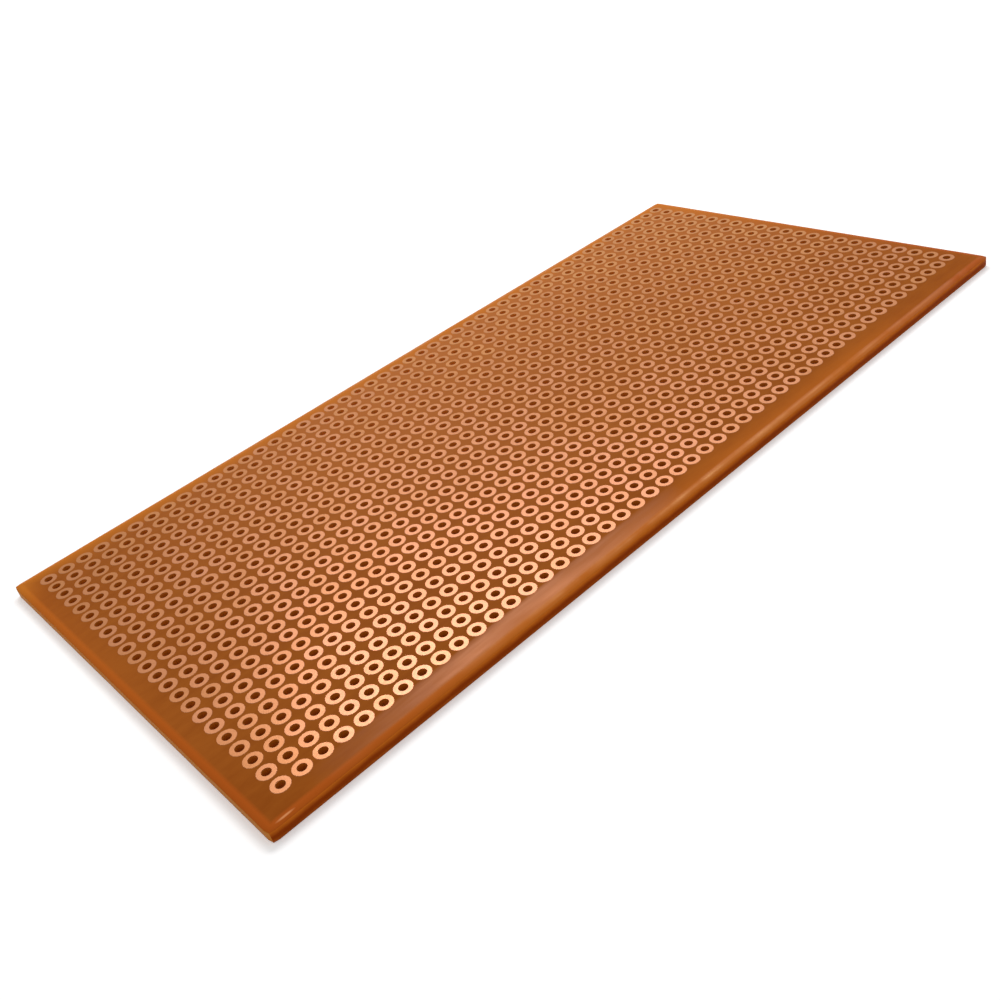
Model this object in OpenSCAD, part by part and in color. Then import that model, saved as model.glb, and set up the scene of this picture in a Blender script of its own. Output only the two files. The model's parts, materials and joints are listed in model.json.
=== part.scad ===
// Prototype board: a bare phenolic paper sheet with a copper ring round every lead hole.
// It lies flat with the copper side up. X runs along the long edges, Y from front to back, and
// the origin is at the middle of the under side.

/* [Hole grid] */
// Distance between neighbouring holes, both ways
pitch = 2.54; // [2.5:0.01:3.2]
// Number of holes in a row, along the length
columns = 48; // [4:1:60]
// Number of rows, across the width
rows = 23; // [3:1:30]
// Diameter of each lead hole
hole_diameter = 1.1; // [0.6:0.05:1.3]
// Degrees that the grid is turned on the sheet, which is sheared slightly askew to it
grid_turn = 0.4; // [-0.5:0.1:0.5]

/* [Laminate] */
// Thickness of the sheet without its copper
sheet_thickness = 1.6; // [0.8:0.1:3.2]
// First column's hole centres to the left end, at the column's middle
left_margin = 3.8; // [2.6:0.1:12]
// Last column's hole centres to the right end, at the column's middle
right_margin = 2.9; // [2.6:0.1:12]
// Front row's hole centres to the front edge, at the row's middle
front_margin = 4.4; // [2.6:0.1:12]
// Back row's hole centres to the back edge, at the row's middle
back_margin = 2.8; // [2.6:0.1:12]
// Radius of the four corners, seen from above
corner_radius = 0.5; // [0.3:0.1:1.2]
// Width of the strip along the upper edges that the shears roll down
roll_width = 0.8; // [0.3:0.1:1]
// Radius of that roll, which starts level with the upper face
roll_radius = 1.5; // [1.2:0.1:3]
// Radius broken off along the lower edges
broken_edge = 0.1; // [0.05:0.05:0.2]

/* [Copper] */
// Outer diameter of each ring
pad_diameter = 2.2; // [1.6:0.05:2.4]
// Thickness of the copper foil
foil_thickness = 0.035; // [0.035:0.035:0.105]

/* [Hidden] */

grid_length = (columns - 1) * pitch;
grid_width = (rows - 1) * pitch;
board_length = grid_length + left_margin + right_margin;
board_width = grid_width + front_margin + back_margin;

// Middle of the hole grid, measured from the middle of the board
grid_middle_x = (left_margin - right_margin) / 2;
grid_middle_y = (front_margin - back_margin) / 2;

// How far the roll has come down where it meets the side
roll_drop = roll_radius - sqrt(pow(roll_radius, 2) - pow(roll_width, 2));

// How far a cutting shape reaches past what it cuts
overrun = 1;

// Sides of a full circle where rounds are drawn as polygons
$fn = 48;

// Puts one copy of a flat shape on every place of the grid
module at_each_hole() {
    translate([grid_middle_x, grid_middle_y])
        rotate(grid_turn)
            for (column = [0 : columns - 1], row = [0 : rows - 1])
                translate([column * pitch - grid_length / 2, row * pitch - grid_width / 2])
                    children();
}

// The sheet seen from above, with a round at each corner
module sheet_outline() {
    side_x = board_length / 2 - corner_radius;
    side_y = board_width / 2 - corner_radius;
    square([board_length, 2 * side_y], center = true);
    square([2 * side_x, board_width], center = true);
    for (x = [-side_x, side_x], y = [-side_y, side_y])
        translate([x, y])
            circle(r = corner_radius);
}

// The sheet's section across a span: upper edges rolled down, lower edges just broken
module sheet_section(span) {
    half = span / 2;
    shoulder = sheet_thickness - roll_drop;
    strip = roll_width + broken_edge;
    strip_depth = roll_drop + broken_edge;
    // Between the rolls, below the rolls, and between the broken edges
    translate([-half + roll_width, broken_edge])
        square([span - 2 * roll_width, sheet_thickness - broken_edge]);
    translate([-half, broken_edge])
        square([span, shoulder - broken_edge]);
    translate([-half + broken_edge, 0])
        square([span - 2 * broken_edge, shoulder]);
    // A roll and a broken edge at each side
    for (side = [-1, 1]) {
        intersection() {
            translate([side * (half - roll_width), sheet_thickness - roll_radius])
                circle(r = roll_radius);
            translate([side * (half - strip / 2), sheet_thickness - strip_depth / 2])
                square([strip, strip_depth], center = true);
        }
        translate([side * (half - broken_edge), broken_edge])
            circle(r = broken_edge);
    }
}

// The blank that the holes go through: its plan meets its two sections
module sheet_blank() {
    intersection() {
        linear_extrude(height = sheet_thickness)
            sheet_outline();
        rotate([90, 0, 90])
            linear_extrude(height = board_length + 2 * overrun, center = true)
                sheet_section(board_width);
        rotate([90, 0, 0])
            linear_extrude(height = board_width + 2 * overrun, center = true)
                sheet_section(board_length);
    }
}

// The sheet with every lead hole through it
module laminate() {
    color("sienna")
        difference() {
            sheet_blank();
            translate([0, 0, -overrun])
                linear_extrude(height = sheet_thickness + 2 * overrun)
                    at_each_hole()
                        circle(d = hole_diameter);
        }
}

// Etched rings, each one a separate piece of foil on the upper face
module copper_pads() {
    color("lightsalmon")
        translate([0, 0, sheet_thickness])
            linear_extrude(height = foil_thickness)
                difference() {
                    at_each_hole()
                        circle(d = pad_diameter);
                    at_each_hole()
                        circle(d = hole_diameter);
                }
}

laminate();
copper_pads();
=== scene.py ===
# Prototype board: a brown phenolic sheet with a copper ring round each of its lead holes.
import json
import math

import bpy
import numpy as np
from mathutils import Matrix, Vector

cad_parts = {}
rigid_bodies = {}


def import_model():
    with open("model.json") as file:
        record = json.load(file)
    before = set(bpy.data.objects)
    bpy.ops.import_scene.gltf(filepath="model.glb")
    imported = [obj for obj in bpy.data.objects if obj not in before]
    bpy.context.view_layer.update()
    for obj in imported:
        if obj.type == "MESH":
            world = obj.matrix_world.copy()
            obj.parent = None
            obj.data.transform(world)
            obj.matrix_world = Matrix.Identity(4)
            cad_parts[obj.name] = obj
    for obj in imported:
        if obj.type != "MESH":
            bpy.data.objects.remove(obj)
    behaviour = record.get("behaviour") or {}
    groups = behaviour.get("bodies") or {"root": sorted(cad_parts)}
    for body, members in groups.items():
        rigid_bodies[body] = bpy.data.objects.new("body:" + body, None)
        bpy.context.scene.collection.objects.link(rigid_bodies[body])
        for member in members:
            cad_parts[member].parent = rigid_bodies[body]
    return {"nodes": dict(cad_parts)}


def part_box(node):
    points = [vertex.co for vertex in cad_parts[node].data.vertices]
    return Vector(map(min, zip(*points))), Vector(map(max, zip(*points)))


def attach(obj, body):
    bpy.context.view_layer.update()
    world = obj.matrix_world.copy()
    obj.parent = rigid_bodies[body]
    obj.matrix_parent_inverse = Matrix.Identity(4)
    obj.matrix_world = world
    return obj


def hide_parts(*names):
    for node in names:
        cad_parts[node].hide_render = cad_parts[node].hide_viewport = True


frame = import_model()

print("frame loaded:", ", ".join(sorted(frame["nodes"])))
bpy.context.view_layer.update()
sheetLow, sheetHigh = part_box("laminate")
padsLow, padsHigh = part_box("copper_pads")

# Places of the holes, counted from the grid's middle along its own rows and columns
grid = {"columns": 48, "rows": 23, "pitch": 0.00254, "turnDegrees": 0.4, "holeRadius": 0.00055}
holeX = grid["pitch"] * (np.arange(grid["columns"]) - (grid["columns"] - 1) / 2)
holeY = grid["pitch"] * (np.arange(grid["rows"]) - (grid["rows"] - 1) / 2)

# The rings' box is centred on the grid's middle and ends one ring radius past the turned grid
gridTurn = math.radians(grid["turnDegrees"])
gridMiddle = (padsLow + padsHigh) / 2
turnedReach = holeX[-1] * math.cos(gridTurn) + holeY[-1] * math.sin(gridTurn)
padRadius = (padsHigh.x - padsLow.x) / 2 - turnedReach


def clearStart():
    for thing in list(bpy.data.objects):
        if thing.type in {"LIGHT", "CAMERA"}:
            bpy.data.objects.remove(thing, do_unlink=True)


def onSheet(points):
    # From the grid's own directions to the sheet's: turned by the grid's angle, then moved to its middle
    cos, sin = math.cos(gridTurn), math.sin(gridTurn)
    turned = np.array(points, float)
    turned[..., 0] = points[..., 0] * cos - points[..., 1] * sin + gridMiddle.x
    turned[..., 1] = points[..., 0] * sin + points[..., 1] * cos + gridMiddle.y
    return turned


# Mesh helpers

def addMesh(name, points, faces, material, creaseAngle=35.0):
    mesh = bpy.data.meshes.new(name)
    mesh.vertices.add(len(points))
    mesh.vertices.foreach_set("co", np.asarray(points, np.float32).ravel())
    mesh.loops.add(faces.size)
    mesh.loops.foreach_set("vertex_index", faces.astype(np.int32).ravel())
    mesh.polygons.add(len(faces))
    mesh.polygons.foreach_set("loop_start", np.arange(0, faces.size, 4, dtype=np.int32))
    mesh.polygons.foreach_set("use_smooth", np.ones(len(faces), bool))
    mesh.update(calc_edges=True)
    mesh.validate()
    mesh.set_sharp_from_angle(angle=math.radians(creaseAngle))
    mesh.materials.append(material)
    piece = bpy.data.objects.new(name, mesh)
    bpy.context.scene.collection.objects.link(piece)
    return piece


def stripFaces(loopCount, sides, firstIndex=0):
    # Quads between each closed loop of points and the next; point k of loop j is j * sides + k
    j, k = np.meshgrid(np.arange(loopCount - 1), np.arange(sides), indexing="ij")
    after = (k + 1) % sides
    quads = np.stack([j * sides + k, j * sides + after, (j + 1) * sides + after, (j + 1) * sides + k], -1)
    return quads.reshape(-1, 4) + firstIndex


def weld(points, faces, step=1e-6):
    # Points that fall on the same micrometre become one
    keys = np.round(points / step).astype(np.int64)
    _, first, where = np.unique(keys, axis=0, return_index=True, return_inverse=True)
    return points[first], where.ravel()[faces]


# Node helpers

def newMaterial(name):
    material = bpy.data.materials.new(name)
    material.use_nodes = True
    nodes = material.node_tree.nodes
    shader = next(n for n in nodes if n.type == "BSDF_PRINCIPLED")
    return material, nodes, material.node_tree.links, shader


def noiseNode(nodes, links, vector, scale, detail, roughness=0.55):
    node = nodes.new("ShaderNodeTexNoise")
    node.inputs["Scale"].default_value = scale
    node.inputs["Detail"].default_value = detail
    node.inputs["Roughness"].default_value = roughness
    links.new(vector, node.inputs["Vector"])
    return node.outputs["Fac"]


def stretchedNoise(nodes, links, place, stretch, scaleAndDetail):
    node = nodes.new("ShaderNodeMapping")
    node.inputs["Scale"].default_value = stretch
    links.new(place, node.inputs["Vector"])
    return noiseNode(nodes, links, node.outputs["Vector"], *scaleAndDetail)


def apartNode(nodes, links, vector):
    node = nodes.new("ShaderNodeSeparateXYZ")
    links.new(vector, node.inputs["Vector"])
    return node.outputs


def lengthNode(nodes, links, vector):
    node = nodes.new("ShaderNodeVectorMath")
    node.operation = "LENGTH"
    links.new(vector, node.inputs[0])
    return node.outputs["Value"]


def rangeNode(nodes, links, value, fromLow, fromHigh, toLow, toHigh):
    node = nodes.new("ShaderNodeMapRange")
    node.clamp = True
    node.inputs["From Min"].default_value = fromLow
    node.inputs["From Max"].default_value = fromHigh
    node.inputs["To Min"].default_value = toLow
    node.inputs["To Max"].default_value = toHigh
    links.new(value, node.inputs["Value"])
    return node.outputs["Result"]


def mathNode(nodes, links, operation, first, second):
    node = nodes.new("ShaderNodeMath")
    node.operation = operation
    for socket, value in zip(node.inputs, (first, second)):
        if isinstance(value, (int, float)):
            socket.default_value = value
        else:
            links.new(value, socket)
    return node.outputs["Value"]


def productNode(nodes, links, first, *others):
    for other in others:
        first = mathNode(nodes, links, "MULTIPLY", first, other)
    return first


def mixColours(nodes, links, amount, first, second):
    node = nodes.new("ShaderNodeMix")
    node.data_type = "RGBA"
    links.new(amount, node.inputs["Factor"])
    for socket, value in zip((node.inputs["A"], node.inputs["B"]), (first, second)):
        if isinstance(value, tuple):
            socket.default_value = (*value, 1)
        else:
            links.new(value, socket)
    return node.outputs["Result"]


def bumpNode(nodes, links, height, strength, distance, before=None):
    node = nodes.new("ShaderNodeBump")
    node.inputs["Strength"].default_value = strength
    node.inputs["Distance"].default_value = distance
    links.new(height, node.inputs["Height"])
    if before is not None:
        links.new(before, node.inputs["Normal"])
    return node.outputs["Normal"]


# Materials

# In these dictionaries a noise is given by its scale and detail, a stretch by its scale along X, Y
# and Z, and a bump by its strength and distance. A reach is two places, in metres, between which
# something changes, and a range is the same for values that aren't places.
phenolic = {
    "brown": (0.27, 0.065, 0.006),
    "lightBrown": (0.345, 0.095, 0.011),
    # Painted haze: the paler brown and the paler hole wall stand in for a hazy reflection towards the back
    "hazeLitBrown": (0.44, 0.138, 0.034),
    # Painted glow: the hole walls are a bright orange, as if lit by light shining through the sheet
    "holeWall": (0.55, 0.16, 0.012),
    "hazeLitHoleWall": (0.72, 0.25, 0.035),
    "cloud": (38, 3),
    "cloudShare": 0.6,
    "fibre": (900, 5),
    "fibreStretch": (0.35, 1, 1),
    "fibreShare": 0.4,
    "mottleRange": (0.38, 0.62),
    # Where the painted haze grows, and how little of it the left end gets
    "hazeReachY": (-0.03, 0.025),
    "hazeReachX": (-0.06, -0.01),
    "leftHaze": 0.15,
    "holeReach": (0.0008, 0.0012),      # an upright wall farther in than this is a hole's
    "upperReach": (0.0008, 0.0012),     # heights between the lower and the upper half
    "roughRange": (0.35, 0.65),
    "roughness": (0.42, 0.52),
    "specular": 0.015,
    "fibreBump": (0.25, 0.00002),
    "tearBump": (0.2, 0.00004),
}
rim = {
    "frontOrange": (0.45, 0.094, 0.01),
    "backOrange": (0.59, 0.176, 0.018),
    "width": 0.0038,
    "rollReach": (0.00066, 0.0011),
    "strengthReachY": (-0.03, 0.03),
    "frontStrength": 0.2,
    "leftReachX": (-0.062, -0.052),
    "leftStrength": 0.45,
    "backCornerY": (0.02, 0.03),
    "halfwayReach": (0.03, 0.055),
    "halfwayStrength": 0.85,
    "colourReachY": (-0.025, 0.03),
    "halfwayColour": 0.5,
}
cut = {
    "orange": (0.62, 0.15, 0.012),
    "brown": (0.30, 0.045, 0.003),
    # Painted light: the ends' golden stands in for sides that the light falls on
    "golden": (0.58, 0.205, 0.028),
    "tear": (420, 4),
    "tearStretch": (1, 1, 3),
    "tearHeight": 0.0005,
    # The torn band is darkened as painted shade, and the foot is made lighter by painted bounce light from
    # the floor
    "tornShadeReach": (0.0010, 0.0016),
    "footBounceReach": (0.0003, 0.0007),
    "footBounceLight": 0.55,
    "uprightRange": (0.35, 0.75),
    "sidewaysRange": (0.3, 0.7),
}
# A painted highlight: a short pale glint on the front roll
paintedGlint = {
    "colour": (0.74, 0.29, 0.11),
    "middle": (-0.0608, -0.03107, 0.0016),
    "half": (0.0011, 0.00014, 1),
    "softRange": (0.4, 1.1),
}
shine = {
    "roughness": 0.34,
    "specular": 0.9,
    "rollTint": (1.0, 0.62, 0.2),
    "uprightRange": (0.5, 0.8),
    "streaks": (3200, 3),
    "streakStretch": (0.03, 1, 1),
    "streakRange": (0.35, 0.6),
    "betweenStreaks": 0.4,
    "dashes": (130, 3),
    "dashStretch": (1, 0.2, 0.2),
    "dashRange": (0.4, 0.6),
    "dashStrength": (0.1, 0.9),
    "leftReachX": (-0.045, 0.005),
    "leftStrength": 0.1,
    "endReach": (0, 0.0006),
    "endStrength": 0.1,
    "marginTint": (1.0, 0.42, 0.2),
    "rubbedMiddle": -0.030,
    "rubbedReach": (0.007, 0.027),
    "marginReach": (0.00279, 0.00341),
    "frontReachY": (0, 0.01),
    "smears": (900, 3),
    "smearStretch": (0.12, 1, 1),
    "smearRange": (0.35, 0.65),
    "betweenSmears": 0.5,
}


def surfaceValues(nodes, links):
    # What the sheet's colours and shine depend on: the place on it, how far that is from the edges,
    # and which way the surface faces
    place = nodes.new("ShaderNodeTexCoord").outputs["Object"]
    x, y, z = apartNode(nodes, links, place)
    normal = apartNode(nodes, links, nodes.new("ShaderNodeNewGeometry").outputs["Normal"])
    fromEdges = []
    for value, low, high in ((x, sheetLow.x, sheetHigh.x), (y, sheetLow.y, sheetHigh.y)):
        fromMiddle = mathNode(nodes, links, "SUBTRACT", value, (low + high) / 2)
        off = mathNode(nodes, links, "ABSOLUTE", fromMiddle, 0)
        fromEdges.append(mathNode(nodes, links, "SUBTRACT", (high - low) / 2, off))
    toEdge = mathNode(nodes, links, "MINIMUM", *fromEdges)
    return {
        "place": place,
        "x": x,
        "y": y,
        "z": z,
        "fromEnds": fromEdges[0],
        "fromLongEdges": fromEdges[1],
        "toEdge": toEdge,
        "onRoll": rangeNode(nodes, links, toEdge, *rim["rollReach"], 1, 0),
        "upperHalf": rangeNode(nodes, links, z, *phenolic["upperReach"], 0, 1),
        "upright": mathNode(nodes, links, "ABSOLUTE", normal["Z"], 0),
        "sideways": mathNode(nodes, links, "ABSOLUTE", normal["X"], 0),
    }


def paintedHazeShare(nodes, links, at):
    # Painted haze: the sheet is painted paler towards the back, standing in for a hazy reflection of the
    # bright room, but hardly at the left end
    return mathNode(nodes, links, "MULTIPLY",
                    rangeNode(nodes, links, at["y"], *phenolic["hazeReachY"], 0, 1),
                    rangeNode(nodes, links, at["x"], *phenolic["hazeReachX"], phenolic["leftHaze"], 1))


def mottledBrown(nodes, links, at, fibre, paintedHaze):
    cloud = noiseNode(nodes, links, at["place"], *phenolic["cloud"])
    tone = mathNode(nodes, links, "ADD", mathNode(nodes, links, "MULTIPLY", cloud, phenolic["cloudShare"]),
                    mathNode(nodes, links, "MULTIPLY", fibre, phenolic["fibreShare"]))
    mottled = mixColours(nodes, links, rangeNode(nodes, links, tone, *phenolic["mottleRange"], 0, 1),
                         phenolic["brown"], phenolic["lightBrown"])
    # Painted haze: a paler brown towards the back
    return mixColours(nodes, links, paintedHaze, mottled, phenolic["hazeLitBrown"])


def addRim(nodes, links, at, body):
    # Light that soaks in at the edges turns the face orange there, most of all at the back and
    # halfway along the front, and least at the left end in front of the back corner
    leftDull = mathNode(nodes, links, "MAXIMUM",
                        rangeNode(nodes, links, at["x"], *rim["leftReachX"], rim["leftStrength"], 1),
                        rangeNode(nodes, links, at["y"], *rim["backCornerY"], 0, 1))
    halfway = mathNode(nodes, links, "ABSOLUTE", at["x"], 0)
    strength = rangeNode(nodes, links, at["y"], *rim["strengthReachY"], rim["frontStrength"], 1)
    strength = mathNode(nodes, links, "MULTIPLY", strength, leftDull)
    strength = mathNode(nodes, links, "MAXIMUM", strength,
                        rangeNode(nodes, links, halfway, *rim["halfwayReach"], rim["halfwayStrength"], 0))
    toBack = rangeNode(nodes, links, at["y"], *rim["colourReachY"], 0, 1)
    toBack = mathNode(nodes, links, "MULTIPLY", toBack, leftDull)
    toBack = mathNode(nodes, links, "MAXIMUM", toBack,
                      rangeNode(nodes, links, halfway, *rim["halfwayReach"], rim["halfwayColour"], 0))
    orange = mixColours(nodes, links, toBack, rim["frontOrange"], rim["backOrange"])
    nearEdge = rangeNode(nodes, links, at["toEdge"], 0, rim["width"], 1, 0)
    body = mixColours(nodes, links, mathNode(nodes, links, "MULTIPLY", nearEdge, strength), body, orange)
    return mixColours(nodes, links, at["onRoll"], body, orange)


def addPaintedGlint(nodes, links, at, body):
    # A painted highlight: a short pale glint painted on the roll by the front left corner. Its share falls
    # off with the distance from its middle, counted in its half sizes.
    scaled = nodes.new("ShaderNodeMapping")
    scaled.vector_type = "TEXTURE"
    scaled.inputs["Location"].default_value = paintedGlint["middle"]
    scaled.inputs["Scale"].default_value = paintedGlint["half"]
    links.new(at["place"], scaled.inputs["Vector"])
    away = lengthNode(nodes, links, scaled.outputs["Vector"])
    share = rangeNode(nodes, links, away, *paintedGlint["softRange"], 1, 0)
    share = mathNode(nodes, links, "MULTIPLY", share, at["upperHalf"])
    return mixColours(nodes, links, share, body, paintedGlint["colour"])


def cutColour(nodes, links, at, ragged):
    # The sheared sides, with painted light and shade. Front and back: orange under the roll, then brown
    # where the sheet tore, darkened further as painted shade, and a little lighter again at the foot, as
    # painted bounce light from the floor. The two ends are golden all the way down, painted as lit sides.
    raised = mathNode(nodes, links, "MULTIPLY", ragged, cut["tearHeight"])
    height = mathNode(nodes, links, "ADD", at["z"], raised)
    tornAndShaded = mathNode(nodes, links, "SUBTRACT", rangeNode(nodes, links, height, *cut["tornShadeReach"], 1, 0),
                    rangeNode(nodes, links, height, *cut["footBounceReach"], cut["footBounceLight"], 0))
    longSide = mixColours(nodes, links, tornAndShaded, cut["orange"], cut["brown"])
    atEnd = rangeNode(nodes, links, at["sideways"], *cut["sidewaysRange"], 0, 1)
    return mixColours(nodes, links, atEnd, longSide, cut["golden"])


def rollShine(nodes, links, at):
    # The roll along the front and the back is burnished, in streaks and dashes
    streaks = stretchedNoise(nodes, links, at["place"], shine["streakStretch"], shine["streaks"])
    dashes = stretchedNoise(nodes, links, at["place"], shine["dashStretch"], shine["dashes"])
    longEdge = mathNode(nodes, links, "SUBTRACT", at["fromEnds"], at["fromLongEdges"])
    return productNode(nodes, links, at["onRoll"],
                       rangeNode(nodes, links, at["upright"], *shine["uprightRange"], 0, 1),
                       rangeNode(nodes, links, streaks, *shine["streakRange"], shine["betweenStreaks"], 1),
                       rangeNode(nodes, links, dashes, *shine["dashRange"], *shine["dashStrength"]),
                       rangeNode(nodes, links, at["x"], *shine["leftReachX"], shine["leftStrength"], 1),
                       rangeNode(nodes, links, longEdge, *shine["endReach"], shine["endStrength"], 1))


def rubbedShine(nodes, links, at):
    # A stretch of the front margin, between the roll and the rings, is rubbed by hands and smeared
    offMiddle = mathNode(nodes, links, "SUBTRACT", at["x"], shine["rubbedMiddle"])
    along = mathNode(nodes, links, "ABSOLUTE", offMiddle, 0)
    smears = stretchedNoise(nodes, links, at["place"], shine["smearStretch"], shine["smears"])
    return productNode(nodes, links, rangeNode(nodes, links, along, *shine["rubbedReach"], 1, 0),
                       rangeNode(nodes, links, at["fromLongEdges"], *shine["marginReach"], 1, 0),
                       rangeNode(nodes, links, at["y"], *shine["frontReachY"], 1, 0),
                       rangeNode(nodes, links, at["onRoll"], 0, 1, 1, 0),
                       rangeNode(nodes, links, smears, *shine["smearRange"], shine["betweenSmears"], 1))


def makePhenolic():
    material, nodes, links, shader = newMaterial("phenolicSheet")
    at = surfaceValues(nodes, links)
    fibre = stretchedNoise(nodes, links, at["place"], phenolic["fibreStretch"], phenolic["fibre"])
    ragged = stretchedNoise(nodes, links, at["place"], cut["tearStretch"], cut["tear"])
    # The share of painted haze, growing towards the back
    paintedHaze = paintedHazeShare(nodes, links, at)

    # The face, then the sheared sides, then the walls of the holes, which are upright too
    body = mottledBrown(nodes, links, at, fibre, paintedHaze)
    # The rim's orange, then the painted glint by the front left corner
    body = addPaintedGlint(nodes, links, at, addRim(nodes, links, at, body))
    side = rangeNode(nodes, links, at["upright"], *cut["uprightRange"], 1, 0)
    body = mixColours(nodes, links, side, body, cutColour(nodes, links, at, ragged))
    # Painted glow: the hole walls' bright orange stands in for light shining through the sheet, and is
    # paler towards the back with the painted haze
    inside = rangeNode(nodes, links, at["toEdge"], *phenolic["holeReach"], 0, 1)
    wall = mixColours(nodes, links, paintedHaze, phenolic["holeWall"], phenolic["hazeLitHoleWall"])
    body = mixColours(nodes, links, mathNode(nodes, links, "MULTIPLY", side, inside), body, wall)
    links.new(body, shader.inputs["Base Color"])

    # Shine: dull and satin all over, but glossy where it is burnished or rubbed
    sheen = mathNode(nodes, links, "ADD", rollShine(nodes, links, at), rubbedShine(nodes, links, at))
    sheen = mathNode(nodes, links, "MULTIPLY", sheen, at["upperHalf"])
    links.new(rangeNode(nodes, links, sheen, 0, 1, phenolic["specular"], shine["specular"]),
              shader.inputs["Specular IOR Level"])
    tint = mixColours(nodes, links, at["onRoll"], shine["marginTint"], shine["rollTint"])
    links.new(tint, shader.inputs["Specular Tint"])
    roughness = nodes.new("ShaderNodeMix")
    links.new(sheen, roughness.inputs["Factor"])
    links.new(rangeNode(nodes, links, fibre, *phenolic["roughRange"], *phenolic["roughness"]),
              roughness.inputs["A"])
    roughness.inputs["B"].default_value = shine["roughness"]
    links.new(roughness.outputs["Result"], shader.inputs["Roughness"])

    coarse = bumpNode(nodes, links, fibre, *phenolic["fibreBump"])
    links.new(bumpNode(nodes, links, ragged, *phenolic["tearBump"], coarse), shader.inputs["Normal"])
    return material


copper = {
    "salmon": (0.71, 0.268, 0.118),
    # Painted light: dimmer copper away from the soft box's reflection, and pale copper for painted haze
    "dimmedCopper": (0.60, 0.215, 0.055),
    "pale": (0.68, 0.27, 0.065),
    "roughness": (0.27, 0.37),
    "metallic": 0.5,
    "lacquer": (0.4, 0.1),              # thinner where the foil is painted dimmer
    "lacquerRoughness": 0.3,
    "ringShare": 0.25,                  # how much a ring differs from its neighbours
    "smear": (60, 3),
    "smearShare": 0.35,
    "grain": (2600, 3),
    "grainRange": (0.3, 0.7),
    "grainBump": (0.15, 0.000008),
    # Where the painted dimming grows along the sheet
    "rightReachX": (-0.02, 0.06),
    "rightDimming": 0.5,
    "backReachY": (-0.02, 0.03),
    "backDimming": 0.5,
    "leftReachX": (-0.062, -0.042),
    "leftDimming": 0.4,
    "frontReachY": (-0.025, 0.01),
    "dimmingTones": (0.2, 0.8),
    "paleTones": (0.8, 1.2),
    "lacquerTones": (0.3, 1),
}


def copperTone(nodes, links, place):
    # From 0, bright, to about 1.2. Painted light: the foil is painted dimmer towards the right end and the
    # back, and a little by the front left corner, away from the soft box's reflection, and paler with
    # painted haze where the back and the right end meet. The tones of single rings and the smears are the
    # foil's own.
    x, y, _ = apartNode(nodes, links, place)
    corner = mathNode(nodes, links, "MULTIPLY",
                      rangeNode(nodes, links, x, *copper["leftReachX"], copper["leftDimming"], 0),
                      rangeNode(nodes, links, y, *copper["frontReachY"], 1, 0))
    alongX = mathNode(nodes, links, "ADD", corner,
                      rangeNode(nodes, links, x, *copper["rightReachX"], 0, copper["rightDimming"]))
    alongY = rangeNode(nodes, links, y, *copper["backReachY"], 0, copper["backDimming"])
    perRing = nodes.new("ShaderNodeAttribute")
    perRing.attribute_name = "padTone"
    smear = noiseNode(nodes, links, place, *copper["smear"])
    tone = mathNode(nodes, links, "ADD",
                    mathNode(nodes, links, "MULTIPLY", perRing.outputs["Fac"], copper["ringShare"]),
                    mathNode(nodes, links, "MULTIPLY", smear, copper["smearShare"]))
    return mathNode(nodes, links, "ADD", tone, mathNode(nodes, links, "ADD", alongX, alongY))


def makeCopper():
    material, nodes, links, shader = newMaterial("etchedCopper")
    place = nodes.new("ShaderNodeTexCoord").outputs["Object"]
    grain = noiseNode(nodes, links, place, *copper["grain"])
    tone = copperTone(nodes, links, place)
    # Salmon where it is bright, then painted dimmer, and pale with painted haze where the back and the
    # right end meet
    colour = mixColours(nodes, links, rangeNode(nodes, links, tone, *copper["dimmingTones"], 0, 1),
                        copper["salmon"], copper["dimmedCopper"])
    colour = mixColours(nodes, links, rangeNode(nodes, links, tone, *copper["paleTones"], 0, 1),
                        colour, copper["pale"])
    links.new(colour, shader.inputs["Base Color"])
    links.new(rangeNode(nodes, links, tone, *copper["lacquerTones"], *copper["lacquer"]),
              shader.inputs["Coat Weight"])
    links.new(rangeNode(nodes, links, grain, *copper["grainRange"], *copper["roughness"]),
              shader.inputs["Roughness"])
    shader.inputs["Metallic"].default_value = copper["metallic"]
    shader.inputs["Coat Roughness"].default_value = copper["lacquerRoughness"]
    links.new(bumpNode(nodes, links, grain, *copper["grainBump"]), shader.inputs["Normal"])
    return material


# The sheet

sheet = {
    "holeSides": 16,
    "breakOut": 0.00006,        # how wide the drill breaks each hole's lower edge
    "cornerRadius": 0.0005,
    "leastRadius": 0.00005,     # of a corner where the outline is drawn in
    "rollWidth": 0.0008,
    "rollRadius": 0.0015,
    "rollSteps": 9,
    "softCorner": 0.00007,      # round between the roll and the side
    "softDrop": 1.1,            # how far down that round reaches, in its own widths
    "brokenEdge": 0.0001,
    "roundInset": 0.3,          # how far in a small round's middle point lies, in its own widths
    "sideSteps": 5,
    "waviness": 0.000035,       # how far the sheared side wanders in and out
    "slowWaves": (9, 40, 4),    # waves round the outline: first, end and step
    "fastWaves": (60, 140, 9),
    "weakestWave": 0.4,
    "swayDepth": 1 / 3,         # share of the thickness below which the side sways fully
    "dipDepth": 0.2,            # and above which the roll dips here and there
    "seed": 7,
}


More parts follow.
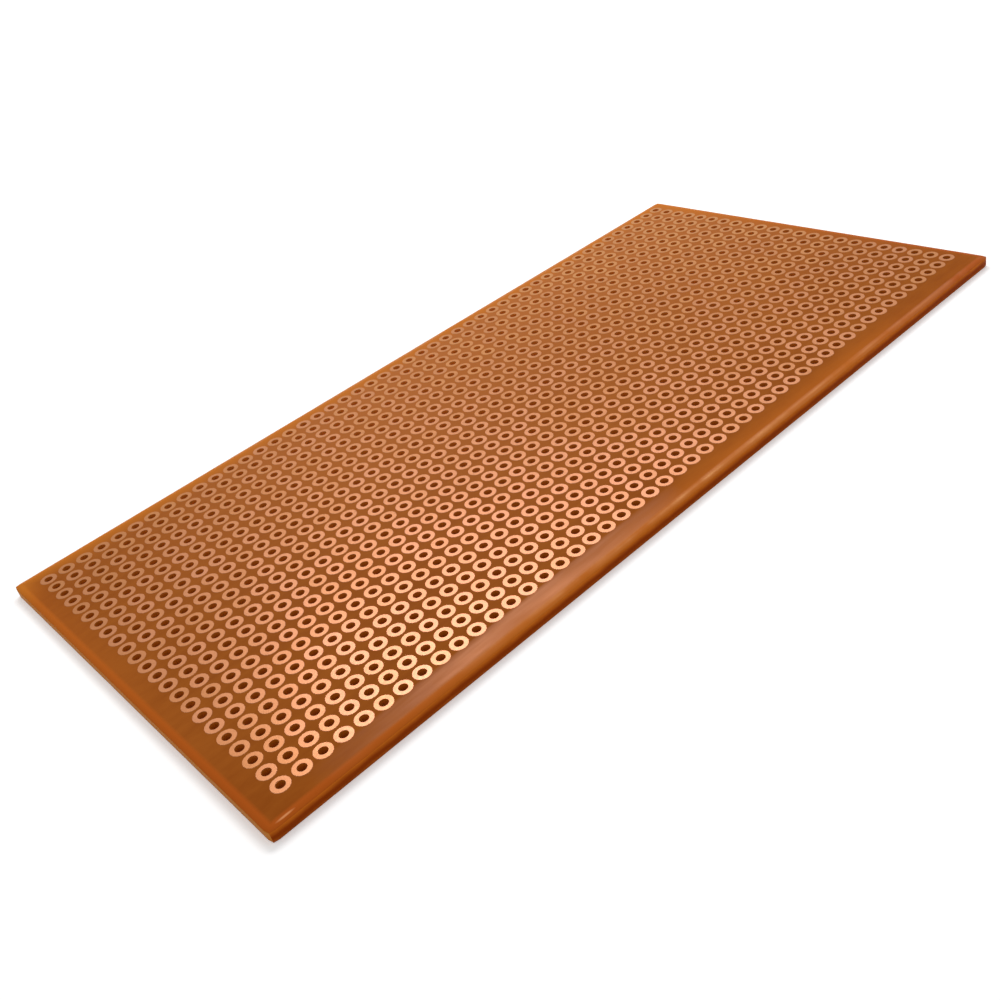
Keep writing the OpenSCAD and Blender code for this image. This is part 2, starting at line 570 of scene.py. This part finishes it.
def holeField():
    # For every hole, loops of points: square cell, hole, drilled wall, broken lower edge, square cell.
    # A square's point at angle a is half a pitch times (cos a, sin a) over the larger of the two.
    top, low = sheetHigh.z, sheetLow.z
    angle = 2 * np.pi * np.arange(sheet["holeSides"]) / sheet["holeSides"]
    circle = np.stack([np.cos(angle), np.sin(angle)], -1)
    square = circle / np.abs(circle).max(-1, keepdims=True) * grid["pitch"] / 2
    hole = circle * grid["holeRadius"]
    wide = circle * (grid["holeRadius"] + sheet["breakOut"])
    flat = np.stack([square, hole, hole, wide, square])
    height = np.array([top, top, low + sheet["breakOut"], low, low])
    cx, cy = np.meshgrid(holeX, holeY, indexing="ij")
    centres = np.stack([cx.ravel(), cy.ravel()], -1)
    points = np.empty((len(centres), *flat.shape[:2], 3))
    points[..., :2] = centres[:, None, None, :] + flat
    points[..., 2] = height[:, None]
    perHole = stripFaces(len(flat), sheet["holeSides"])
    count = len(flat) * sheet["holeSides"]
    faces = (perHole[None] + count * np.arange(len(centres))[:, None, None]).reshape(-1, 4)
    return onSheet(points.reshape(-1, 3)), faces


def fieldBorder():
    # Points round the outside of the square cells, counter-clockwise and still counted from the
    # grid's middle. They are the cells' own points: with 16 of them, each side of a square has one
    # at its corner, at its middle, and at tan 22.5 degrees of half a pitch on both sides of that.
    half = grid["pitch"] / 2
    between = math.tan(math.pi / 8)
    steps = np.array([-1, -between, 0, between]) * half
    alongX = (holeX[:, None] + steps).ravel()
    alongY = (holeY[:, None] + steps).ravel()
    left, right = holeX[0] - half, holeX[-1] + half
    front, back = holeY[0] - half, holeY[-1] + half
    # Mirrored about the middle, the same steps run back along the far side and down the left one
    backX = left + right - alongX
    backY = front + back - alongY
    return np.concatenate([
        np.stack([alongX, np.full_like(alongX, front)], -1),
        np.stack([np.full_like(alongY, right), alongY], -1),
        np.stack([backX, np.full_like(backX, back)], -1),
        np.stack([np.full_like(backY, left), backY], -1)])


def outlineLoop(border, inset):
    # The border is stretched to the sheet's outline less the inset; in each corner a point keeps its
    # direction from the round's centre and lies one radius away from it
    halfBorder = border.max(0)
    sheetMiddle = np.array([(sheetLow.x + sheetHigh.x) / 2, (sheetLow.y + sheetHigh.y) / 2])
    halfSheet = np.array([(sheetHigh.x - sheetLow.x) / 2, (sheetHigh.y - sheetLow.y) / 2]) - inset
    radius = max(sheet["cornerRadius"] - inset, sheet["leastRadius"])
    spot = border / halfBorder * halfSheet
    away = np.abs(spot) - (halfSheet - radius)
    inCorner = (away > 0).all(-1)
    length = np.maximum(np.linalg.norm(away, axis=-1, keepdims=True), 1e-9)
    rounded = np.sign(spot) * (halfSheet - radius + away / length * radius)
    return np.where(inCorner[:, None], rounded, spot) + sheetMiddle


def wander(count, waves, rng):
    # A closed sum of sines round the outline, with random phases and falling strengths
    turn = 2 * np.pi * np.arange(count) / count
    phase = rng.uniform(0, 2 * np.pi, len(waves))
    strength = rng.uniform(sheet["weakestWave"], 1, len(waves))
    return (np.sin(turn[:, None] * waves + phase) * strength).sum(-1) / strength.sum()


def rimProfile():
    # Points as (inset, height). The roll starts level and is an arc of a circle as far as the side; a
    # small round leads into the side, and another one ends it at the foot.
    top, low = sheetHigh.z, sheetLow.z
    width, radius = sheet["rollWidth"], sheet["rollRadius"]
    soft, foot, inset = sheet["softCorner"], sheet["brokenEdge"], sheet["roundInset"]
    steepest = math.asin((width - soft) / radius)
    bend = np.linspace(0, steepest, sheet["rollSteps"])
    profile = [(width + soft, top)]
    profile += [(width - radius * math.sin(a), top - radius * (1 - math.cos(a))) for a in bend]
    rollFoot = profile[-1][1]
    shoulder = rollFoot - soft * sheet["softDrop"]
    profile += [(soft * inset, (rollFoot + shoulder) / 2), (0.0, shoulder)]
    profile += [(0.0, h) for h in np.linspace(shoulder, low + foot, sheet["sideSteps"] + 1)[1:]]
    return profile + [(foot * inset, low + foot * inset), (foot, low)]


def makeSheet(material):
    rng = np.random.default_rng(sheet["seed"])
    top, low = sheetHigh.z, sheetLow.z
    fieldPoints, fieldFaces = holeField()
    border = fieldBorder()
    count = len(border)
    waves = np.concatenate([np.arange(*sheet["slowWaves"]), np.arange(*sheet["fastWaves"])])
    sway = wander(count, waves, rng)
    dip = wander(count, waves * 2 + 1, rng)
    onEdge = onSheet(border)
    loops = [np.column_stack([onEdge, np.full(count, top)])]
    for inset, height in rimProfile():
        depth = (top - height) / (top - low)
        free = min(depth / sheet["swayDepth"], 1) * min((height - low) / sheet["brokenEdge"], 1)
        flat = outlineLoop(border, inset)
        inward = outlineLoop(border, inset + sheet["waviness"]) - flat
        shift = inward * (np.clip(sway, 0, None) * free)[:, None]
        drop = np.clip(dip, 0, None) * sheet["waviness"] * (0 < depth < sheet["dipDepth"])
        loops.append(np.column_stack([flat + shift, height - drop]))
    loops.append(np.column_stack([onEdge, np.full(count, low)]))
    rimFaces = stripFaces(len(loops), count, len(fieldPoints))[:, ::-1]
    points, faces = weld(np.concatenate([fieldPoints, *loops]), np.concatenate([fieldFaces, rimFaces]))
    piece = addMesh("sheet", points, faces, material)
    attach(piece, "root")
    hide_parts("laminate")
    print("sheet:", len(faces), "faces")


# The copper rings

rings = {
    "sides": 16,
    "undercut": 0.00003,        # how much narrower the etched ring is at its top
    "seed": 11,
}


def makeRings(material):
    # A ring's section, carried round the hole: up the hole's wall, out over the top, down the etched
    # edge and back under the foil
    low, top = padsLow.z, padsHigh.z
    inner, outer = grid["holeRadius"], padRadius
    section = np.array([(inner, low), (inner, top), (outer - rings["undercut"], top), (outer, low)])
    angle = 2 * np.pi * np.arange(rings["sides"]) / rings["sides"]
    ring = np.stack([section[:, :1] * np.cos(angle), section[:, :1] * np.sin(angle),
                     np.repeat(section[:, 1:], rings["sides"], 1)], -1)
    # The last strip's far points wrap round to the first ones, which closes it under the foil
    count = len(section) * rings["sides"]
    perRing = stripFaces(len(section) + 1, rings["sides"]) % count
    rng = np.random.default_rng(rings["seed"])
    for row, y in enumerate(holeY):
        centres = np.column_stack([holeX, np.full_like(holeX, y), np.zeros_like(holeX)])
        points = onSheet((centres[:, None, None, :] + ring).reshape(-1, 3))
        faces = (perRing[None] + count * np.arange(len(centres))[:, None, None]).reshape(-1, 4)
        piece = addMesh("copper_row_%02d" % (row + 1), points, faces[:, ::-1], material)
        tone = piece.data.attributes.new("padTone", "FLOAT", "POINT")
        tone.data.foreach_set("value", np.repeat(rng.random(len(centres)), count).astype(np.float32))
        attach(piece, "root")
        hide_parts("copper_pads")
    print("rings:", grid["rows"], "rows of", grid["columns"])


# Room, lamps and camera

room = {
    "floorSize": 6.0,
    "floorDrop": 0.00002,
    "floorColour": (0.88, 0.88, 0.88),
    "floorRoughness": 0.9,
    "floorGlow": (0.32, 1.0),       # near the board and far away from it
    "glowReach": (0.12, 0.6),
    "skyStrength": 0.52,
}
lamps = {
    "softBox": {"azimuth": 46, "height": 54, "distance": 0.42, "width": 0.34, "depth": 0.14, "power": 1.05},
}
view = {
    "place": (-0.079727, -0.107047, 0.078258),
    "aim": (-0.012412, -0.010974, 0.001635),
    "rollDegrees": 14.52,
    "lens": 40.70,
    "sensorWidth": 36,
    "shift": (-0.0167, -0.0191),
    "clipStart": 0.005,
}


def makeFloor():
    material, nodes, links, shader = newMaterial("paleFloor")
    shader.inputs["Base Color"].default_value = (*room["floorColour"], 1)
    shader.inputs["Roughness"].default_value = room["floorRoughness"]
    glow = nodes.new("ShaderNodeEmission")
    path = nodes.new("ShaderNodeLightPath")
    seen = mathNode(nodes, links, "MAXIMUM", path.outputs["Is Camera Ray"], path.outputs["Is Glossy Ray"])
    seen = mathNode(nodes, links, "MAXIMUM", seen, path.outputs["Is Transmission Ray"])
    # Seen directly, in a gloss or through something, the floor glows white, but less by the board,
    # so that its soft shadow shows
    away = lengthNode(nodes, links, nodes.new("ShaderNodeTexCoord").outputs["Object"])
    strength = rangeNode(nodes, links, away, *room["glowReach"], *room["floorGlow"])
    links.new(mathNode(nodes, links, "MULTIPLY", seen, strength), glow.inputs["Strength"])
    both = nodes.new("ShaderNodeAddShader")
    links.new(shader.outputs[0], both.inputs[0])
    links.new(glow.outputs[0], both.inputs[1])
    output = next(n for n in nodes if n.type == "OUTPUT_MATERIAL")
    links.new(both.outputs[0], output.inputs["Surface"])
    half = room["floorSize"] / 2
    down = -room["floorDrop"]
    corners = np.array([(-half, -half, down), (half, -half, down), (half, half, down), (-half, half, down)])
    floor = addMesh("floor", corners, np.array([[0, 1, 2, 3]]), material)


def makeLight():
    world = bpy.data.worlds.new("softRoom")
    bpy.context.scene.world = world
    world.use_nodes = True
    nodes, links = world.node_tree.nodes, world.node_tree.links
    sky = next(n for n in nodes if n.type == "BACKGROUND")
    sky.inputs["Color"].default_value = (1, 1, 1, 1)
    path = nodes.new("ShaderNodeLightPath")
    links.new(rangeNode(nodes, links, path.outputs["Is Camera Ray"], 0, 1, room["skyStrength"], 1),
              sky.inputs["Strength"])
    for name, lamp in lamps.items():
        light = bpy.data.lights.new(name, "AREA")
        light.shape = "RECTANGLE"
        light.size = lamp["width"]
        light.size_y = lamp["depth"]
        light.energy = lamp["power"]
        holder = bpy.data.objects.new(name, light)
        around, up = math.radians(lamp["azimuth"]), math.radians(lamp["height"])
        toLamp = Vector((math.cos(around) * math.cos(up), math.sin(around) * math.cos(up), math.sin(up)))
        holder.location = toLamp * lamp["distance"]
        holder.rotation_euler = toLamp.to_track_quat("Z", "Y").to_euler()
        bpy.context.scene.collection.objects.link(holder)


def makeCamera():
    lens = bpy.data.cameras.new("camera")
    lens.sensor_width = view["sensorWidth"]
    lens.lens = view["lens"]
    lens.shift_x, lens.shift_y = view["shift"]
    lens.clip_start = view["clipStart"]
    holder = bpy.data.objects.new("camera", lens)
    look = (Vector(view["aim"]) - Vector(view["place"])).to_track_quat("-Z", "Y").to_matrix().to_4x4()
    turn = Matrix.Rotation(-math.radians(view["rollDegrees"]), 4, "Z")
    holder.matrix_world = Matrix.Translation(view["place"]) @ look @ turn
    bpy.context.scene.collection.objects.link(holder)
    bpy.context.scene.camera = holder


clearStart()
makeCamera()
makeSheet(makePhenolic())
makeRings(makeCopper())
makeFloor()
makeLight()
bpy.context.scene.view_settings.view_transform = "Standard"
